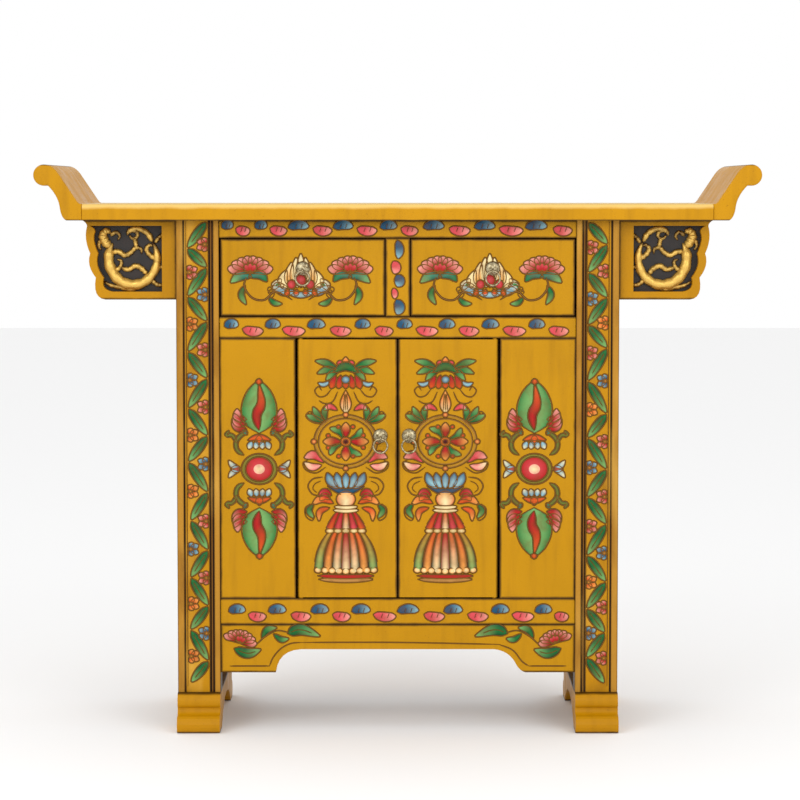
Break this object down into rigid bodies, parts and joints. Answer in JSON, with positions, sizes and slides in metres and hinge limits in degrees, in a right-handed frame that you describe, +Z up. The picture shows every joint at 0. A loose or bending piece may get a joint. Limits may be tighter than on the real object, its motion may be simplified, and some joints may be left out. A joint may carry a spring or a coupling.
{
  "type": "painted cabinet",
  "caption": "Yellow painted altar cabinet with upturned scroll ends, drawers over a pair of doors, lobed spandrels with gilt carving, and sled runner feet.",
  "frame": {"origin": "under the middle of the cabinet, on the floor", "axes": "+X to the cabinet's right as seen from the front, +Y to its back, +Z up; the front faces -Y"},
  "size_m": [1.1998, 0.3752, 0.9445],
  "materials": {
    "painted_frame": "antiqued yellow ochre paint, satin",
    "painted_panel": "yellow ochre paint with raised painted ornament, satin",
    "bare_wood": "plain unpainted softwood",
    "black_paint": "matt black paint",
    "gilding": "aged gilding over carved wood",
    "antique_brass": "antique brass, worn"
  },
  "bodies": {
    "carcass": {"top_board": "painted_frame", "flange_left": "painted_frame", "front_post_left": "painted_frame", "back_post_left": "painted_frame", "runner_left": "painted_frame", "side_top_rail_left": "painted_frame", "side_bottom_rail_left": "painted_frame", "side_panel_left": "painted_frame", "spandrel_frame_left": "painted_frame", "spandrel_rear_left": "painted_frame", "flange_right": "painted_frame", "front_post_right": "painted_frame", "back_post_right": "painted_frame", "runner_right": "painted_frame", "side_top_rail_right": "painted_frame", "side_bottom_rail_right": "painted_frame", "side_panel_right": "painted_frame", "spandrel_frame_right": "painted_frame", "spandrel_rear_right": "painted_frame", "back_top_rail": "painted_frame", "back_bottom_rail": "painted_frame", "back_panel": "painted_frame", "top_rail": "painted_panel", "mid_rail": "painted_panel", "bottom_rail": "painted_panel", "drawer_divider": "painted_panel", "apron": "painted_panel", "fixed_panel_left": "painted_panel", "fixed_panel_right": "painted_panel", "floor_board": "bare_wood", "drawer_deck": "bare_wood", "drawer_guide_left": "bare_wood", "drawer_guide_right": "bare_wood", "drawer_guide_centre": "bare_wood", "spandrel_back_left": "black_paint", "spandrel_back_right": "black_paint", "spandrel_carving_left": "gilding", "spandrel_carving_right": "gilding"},
    "drawer_left": {"drawer_left_front": "painted_panel", "drawer_left_side_inner": "bare_wood", "drawer_left_side_outer": "bare_wood", "drawer_left_back": "bare_wood", "drawer_left_bottom": "bare_wood", "pull_boss_drawer_left": "antique_brass"},
    "door_left": {"door_left": "painted_panel", "pull_boss_door_left": "antique_brass"},
    "ring_drawer_left": {"pull_ring_drawer_left": "antique_brass"},
    "ring_door_left": {"pull_ring_door_left": "antique_brass"},
    "drawer_right": {"drawer_right_front": "painted_panel", "drawer_right_side_inner": "bare_wood", "drawer_right_side_outer": "bare_wood", "drawer_right_back": "bare_wood", "drawer_right_bottom": "bare_wood", "pull_boss_drawer_right": "antique_brass"},
    "door_right": {"door_right": "painted_panel", "pull_boss_door_right": "antique_brass"},
    "ring_drawer_right": {"pull_ring_drawer_right": "antique_brass"},
    "ring_door_right": {"pull_ring_door_right": "antique_brass"}
  },
  "joints": [
    {"name": "drawer_left_slide", "type": "slide", "parent": "carcass", "child": "drawer_left", "axis": [0, -1, 0], "range_m": [0, 0.2]},
    {"name": "door_left_hinge", "type": "hinge", "parent": "carcass", "child": "door_left", "pos_m": [-0.1615, -0.144, 0.4395], "axis": [0, 0, -1], "range_deg": [0, 100]},
    {"name": "ring_drawer_left_swing", "type": "hinge", "parent": "drawer_left", "child": "ring_drawer_left", "pos_m": [-0.1574, -0.161, 0.7685], "axis": [-1, 0, 0], "range_deg": [0, 85]},
    {"name": "ring_door_left_swing", "type": "hinge", "parent": "door_left", "child": "ring_door_left", "pos_m": [-0.0288, -0.161, 0.4901], "axis": [-1, 0, 0], "range_deg": [0, 85]},
    {"name": "drawer_right_slide", "type": "slide", "parent": "carcass", "child": "drawer_right", "axis": [0, -1, 0], "range_m": [0, 0.2]},
    {"name": "door_right_hinge", "type": "hinge", "parent": "carcass", "child": "door_right", "pos_m": [0.1615, -0.144, 0.4395], "axis": [0, 0, 1], "range_deg": [0, 100]},
    {"name": "ring_drawer_right_swing", "type": "hinge", "parent": "drawer_right", "child": "ring_drawer_right", "pos_m": [0.1574, -0.161, 0.7685], "axis": [-1, 0, 0], "range_deg": [0, 85]},
    {"name": "ring_door_right_swing", "type": "hinge", "parent": "door_right", "child": "ring_door_right", "pos_m": [0.0187, -0.161, 0.4901], "axis": [-1, 0, 0], "range_deg": [0, 85]}
  ]
}
